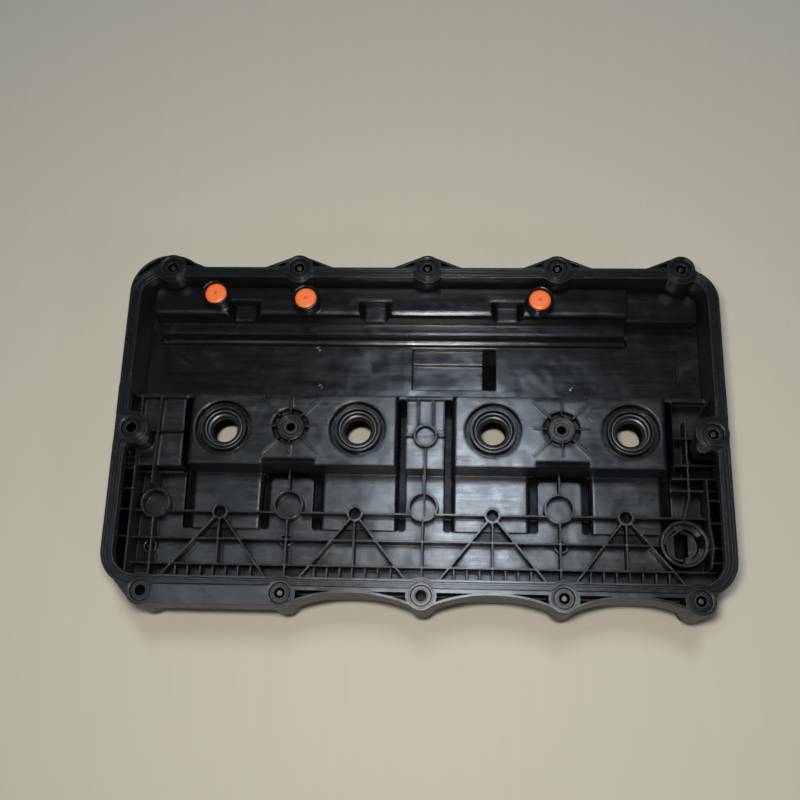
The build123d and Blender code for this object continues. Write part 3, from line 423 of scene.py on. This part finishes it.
# ------------------------------------------------------------------ injector seals and valve cups
# section of an injector seal, from the top of its collar: lip, funnel, groove, collar and outer step
LIP_RADIUS = 9.1
SEAL_SECTION = [(10.4, -9.0), (LIP_RADIUS, -6.8), (LIP_RADIUS, -5.9), (9.25, -5.2), (9.6, -4.5),
                (10.1, -3.95), (10.7, -3.6), (11.3, -3.45), (11.55, -3.7), (11.75, -4.1), (12.0, -4.1),
                (12.1, -3.6), (12.2, -0.5), (12.45, -0.12), (12.8, 0.0), (13.3, 0.0), (13.7, -0.12),
                (13.9, -0.5), (13.95, -2.0), (14.1, -2.5), (14.5, -2.6), (14.85, -2.8), (15.0, -3.2),
                (15.0, -9.0)]
# radii of the sheet of painted shade inside each injector tube, its gap below the seal, and the level where
# it ends
SHADE_SHEET_RADII = (9.4, 9.46)
SHADE_SHEET_GAP = 0.05
SHADE_SHEET_END_LEVEL = 24.1
MOAT_RADIUS = 18.6
MOAT_RIDGE_RADII = (18.0, 19.3)


def injector_seals():
    """The lip seals with their rounded lips, and a near-black sheet of painted shade on the tube's wall below
    each.
    """
    for index in INJECTORS:
        x, y, low, top = middle("injector_seal_%d" % index)
        bm = bmesh.new()
        lathe(bm, x, y, [(radius, top + rise) for radius, rise in SEAL_SECTION], steps=96, closed=True)
        seal = new_piece("lip_seal_%d" % index, mesh_from(bm, "lip_seal_%d" % index), "seal_rubber", "cover",
                         MATERIALS["lip_rubber_painted_sheen"])
        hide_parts("injector_seal_%d" % index)
        inner, outer = SHADE_SHEET_RADII
        sheet_top = low - SHADE_SHEET_GAP
        section = [(outer, sheet_top), (inner, sheet_top), (inner, SHADE_SHEET_END_LEVEL), (outer, SHADE_SHEET_END_LEVEL)]
        # a near-black sheet of painted shade that darkens the tube's wall below the seal
        bm = bmesh.new()
        lathe(bm, x, y, section, steps=96, closed=True)
        new_piece("tube_shade_sheet_%d" % index, mesh_from(bm, "tube_shade_sheet_%d" % index), "cover_plastic", "cover",
                  MATERIALS["bore_shade_sheet"])


def moat_ridges():
    """Two fine ridges on the floor of the moat round each injector."""
    bm = bmesh.new()
    for index in INJECTORS:
        x, y = middle("injector_seal_%d" % index)[:2]
        floor_level = ground("cover", x + MOAT_RADIUS, y)
        for radius in MOAT_RIDGE_RADII:
            half_round(bm, x, y, radius, floor_level, width=0.6, rise=0.4)
    new_piece("moat_ridges", mesh_from(bm, "moat_ridges"), "cover_plastic")


CUP_RADIUS = 9.8
CUP_RIM_INSET = 0.52
CUP_RIM_LEVEL = 67.0
CUP_RIDGE_DROPS = (3.2, 5.6, 8.0)
CUP_RIDGE_SECTION = ((-0.1, -0.55), (0.3, -0.3), (0.4, 0.0), (0.3, 0.3), (-0.1, 0.55))


def cup_ridges():
    """Rounded rim and three side ridges on each valve cup."""
    bm = bmesh.new()
    for index in VALVES:
        x, y = middle("drain_valve_%d" % index)[:2]
        half_round(bm, x, y, CUP_RADIUS - CUP_RIM_INSET, CUP_RIM_LEVEL, width=1.0, rise=0.35)
        for drop in CUP_RIDGE_DROPS:
            level = CUP_RIM_LEVEL - drop
            section = [(CUP_RADIUS + reach, level + rise) for reach, rise in CUP_RIDGE_SECTION]
            lathe(bm, x, y, section, steps=64, closed=True)
    new_piece("cup_ridges", mesh_from(bm, "cup_ridges"), "baffle_plastic")


# radius and rise above the disc; the outer edge sinks just below it
NUB_PROFILE = ((1.25, -0.02), (1.0, 0.1), (0.7, 0.1), (0.35, 0.02), (0.01, 0.0))


def valve_nubs():
    """The small puckered nub in the middle of each valve disc."""
    for index in VALVES:
        x, y, _, top = middle("drain_valve_%d" % index)
        bm = bmesh.new()
        lathe(bm, x, y, [(radius, top + rise) for radius, rise in NUB_PROFILE], steps=24)
        new_piece("valve_nub_%d" % index, mesh_from(bm, "valve_nub_%d" % index), "orange_silicone", "cover",
                  MATERIALS["valve_nub"])


# ------------------------------------------------------------------ marks on the cover and the baffle
# places of the round marks left by the mould's ejector pins, and of the stubs at the baffle's gates;
# a profile is (radius, rise above the surface): a low burr round a dished disc, and a trimmed stub
PIN_MARKS = [(-117.4, 13.6), (-66.0, 14.2), (78.8, 12.4), (126.0, 13.7), (197.1, -14.2), (22.5, -84.2),
             (62.2, -83.5), (119.7, -83.6), (160.0, -83.9), (-196.2, -12.2), (-177.8, -84.9)]
MARK_PROFILE = ((4.85, -0.02), (4.75, 0.05), (4.6, 0.05), (4.5, 0.015), (0.01, 0.015))
GATES = ((-77.5, 69.6), (-74.5, 39.6), (112.0, 39.6))
GATE_PROFILE = ((2.2, -0.02), (1.9, 0.18), (1.2, 0.3), (0.9, 0.16), (0.01, 0.12))


def turned_marks(name, node, places, profile, slot, steps, smooth):
    """One piece of the same small turned mark at each of some places on a node."""
    bm = bmesh.new()
    for x, y in places:
        height = ground(node, x, y)
        lathe(bm, x, y, [(radius, height + rise) for radius, rise in profile], steps)
    new_piece(name, mesh_from(bm, name, smooth), slot)


def slot_outline():
    """Raised edge round the narrow slot near the right end of the baffle."""
    bm = bmesh.new()
    x, y, half_straight, end_steps, beside = 190.0, 53.0, 9.3, 12, 3.0
    section = ((1.5, -0.03), (1.35, 0.3), (0.95, 0.3), (0.8, -0.03))
    height = ground("separator_baffle", x + beside, y)
    rings = []
    for reach, rise in section:
        ring = []
        for end in (1, -1):
            for step in range(end_steps + 1):
                angle = math.pi * step / end_steps + (0 if end > 0 else math.pi)
                ring.append(bm.verts.new(Vector((x + reach * math.cos(angle),
                                                 y + end * half_straight + reach * math.sin(angle),
                                                 height + rise)) * MM))
        rings.append(ring)
    skin(bm, rings + rings[:1], around=True)
    new_piece("slot_outline", mesh_from(bm, "slot_outline"), "baffle_plastic")


def bead_face():
    """Smooth rounded face over the long bead on the baffle, tapered off past both ends of the bead."""
    left, right, taper, tip_share = -199.0, 154.0, 3.0, 0.02
    middle_y, half_width, rise, sink, flatness = 74.8, 3.6, 2.45, 0.04, 0.8
    section_steps, end_steps = 14, 8
    beside_x, beside_y = -100.0, 69.0
    height = ground("separator_baffle", beside_x, beside_y)
    quarter = [math.pi / 2 * step / end_steps for step in range(end_steps + 1)]
    stations = [(left + taper * (1 - math.cos(angle)), math.sin(angle)) for angle in quarter]
    stations += [(right - taper + taper * math.sin(angle), math.cos(angle)) for angle in quarter]
    bm = bmesh.new()
    rows = []
    for x, share in stations:
        share = max(share, tip_share)
        row = []
        for part in range(section_steps + 1):
            turn = math.pi * part / section_steps
            y = middle_y - half_width * math.cos(turn) * share
            z = height - sink + rise * math.sin(turn) ** flatness * share
            row.append(bm.verts.new(Vector((x, y, z)) * MM))
        rows.append(row)
    skin(bm, rows)
    new_piece("bead_face", mesh_from(bm, "bead_face"), "baffle_plastic")


def parting_line():
    """A fine seam of the mould across the baffle."""
    bm = bmesh.new()
    x, half_width, rise, sink = -13.0, 0.16, 0.09, 0.02
    front_y, middle_y, back_y = 31.2, 50.0, 70.8
    height = ground("separator_baffle", x, middle_y)
    section = ((-half_width, -sink), (0.0, rise), (half_width, -sink))
    rows = []
    for y in (front_y, middle_y, back_y):
        rows.append([bm.verts.new(Vector((x + dx, y, height + dz)) * MM) for dx, dz in section])
    skin(bm, rows)
    new_piece("parting_line", mesh_from(bm, "parting_line", smooth=False), "baffle_plastic")


# ------------------------------------------------------------------ bolt threads
def bolt_threads():
    """A helical ridge on the upper part of each bolt's shank, which fades in and out over one turn."""
    pitch, turns, steps = 1.0, 20, 20
    root, crest, root_half, crest_half, below_tip = 2.9, 3.22, 0.42, 0.08, 3.2
    section = ((root, -root_half), (crest, -crest_half), (crest, crest_half), (root, root_half))
    for index in BOLTS:
        x, y, _, tip = middle("flange_bolt_%d" % index)
        top = tip - below_tip
        bm = bmesh.new()
        rows = []
        for step in range(steps * turns + 1):
            angle = 2 * math.pi * step / steps
            fade = min(1.0, step / steps, (steps * turns - step) / steps)
            row = []
            for radius, rise in section:
                reach = root + (radius - root) * fade
                row.append(bm.verts.new(Vector((x + reach * math.cos(angle), y + reach * math.sin(angle),
                                                top - pitch * step / steps + rise)) * MM))
            rows.append(row)
        skin(bm, rows)
        new_piece("bolt_thread_%d" % index, mesh_from(bm, "bolt_thread_%d" % index), "bolt_steel",
                  "bolt_%d" % index)


injector_seals()
moat_ridges()
cup_ridges()
slot_outline()
bead_face()
turned_marks("ejector_marks", "cover", PIN_MARKS, MARK_PROFILE, "cover_plastic", steps=48, smooth=False)
turned_marks("gate_stubs", "separator_baffle", GATES, GATE_PROFILE, "baffle_plastic", steps=24, smooth=True)
parting_line()
valve_nubs()
bolt_threads()


# ------------------------------------------------------------------ stage and light
FLOOR_HALF = 3.0


def make_floor():
    bm = bmesh.new()
    corners = ((-1, -1), (1, -1), (1, 1), (-1, 1))
    bm.faces.new([bm.verts.new((x * FLOOR_HALF, y * FLOOR_HALF, 0.0)) for x, y in corners])
    mesh = bpy.data.meshes.new("floor")
    bm.to_mesh(mesh)
    bm.free()
    mesh.materials.append(card_floor("pale_card"))
    floor = bpy.data.objects.new("floor", mesh)
    bpy.context.scene.collection.objects.link(floor)


def area_light(name, place, target, size, energy, color, spin=0.0):
    """A rectangular soft light; spin turns it, and its aim, about the vertical, in degrees."""
    data = bpy.data.lights.new(name, "AREA")
    data.shape = "RECTANGLE"
    data.size, data.size_y = size
    data.energy = energy
    data.color = color
    light = bpy.data.objects.new(name, data)
    aim = (Vector(target) - Vector(place)).to_track_quat("-Z", "Y").to_matrix().to_4x4()
    light.matrix_world = Matrix.Translation(place) @ Matrix.Rotation(math.radians(spin), 4, "Z") @ aim
    bpy.context.scene.collection.objects.link(light)


def make_lights():
    """A narrow panel that shines in the level faces, a weak light at the front right, a soft one close
    to the camera, and a small panel that shines in the apron at the front left."""
    area_light("skylight", place=(0.055, 0.42, 2.2), target=(0.055, 0.0, 0.0), size=(0.20, 0.50),
               energy=12.5, color=(0.76, 0.88, 1.0), spin=12.0)
    area_light("window", place=(1.4, -1.3, 1.6), target=(0.0, 0.0, 0.0), size=(0.4, 0.4),
               energy=3.2, color=(0.78, 0.90, 1.0))
    area_light("flash", place=(0.0, -0.165, 0.79), target=(-0.04, -0.03, 0.0), size=(0.09, 0.05),
               energy=3.9, color=(1.0, 0.97, 0.93))
    area_light("left_patch", place=(-0.64, 0.153, 2.2), target=(-0.14, -0.12, 0.0), size=(0.24, 0.12),
               energy=1.1, color=(0.72, 0.86, 1.0))


def make_world():
    world = bpy.data.worlds.new("studio")
    bpy.context.scene.world = world
    world.use_nodes = True
    backdrop = world.node_tree.nodes["Background"]
    backdrop.inputs["Color"].default_value = (0.92, 0.96, 1.0, 1.0)
    backdrop.inputs["Strength"].default_value = 0.06


make_floor()
make_lights()
make_world()
bpy.context.scene.view_settings.view_transform = "Standard"
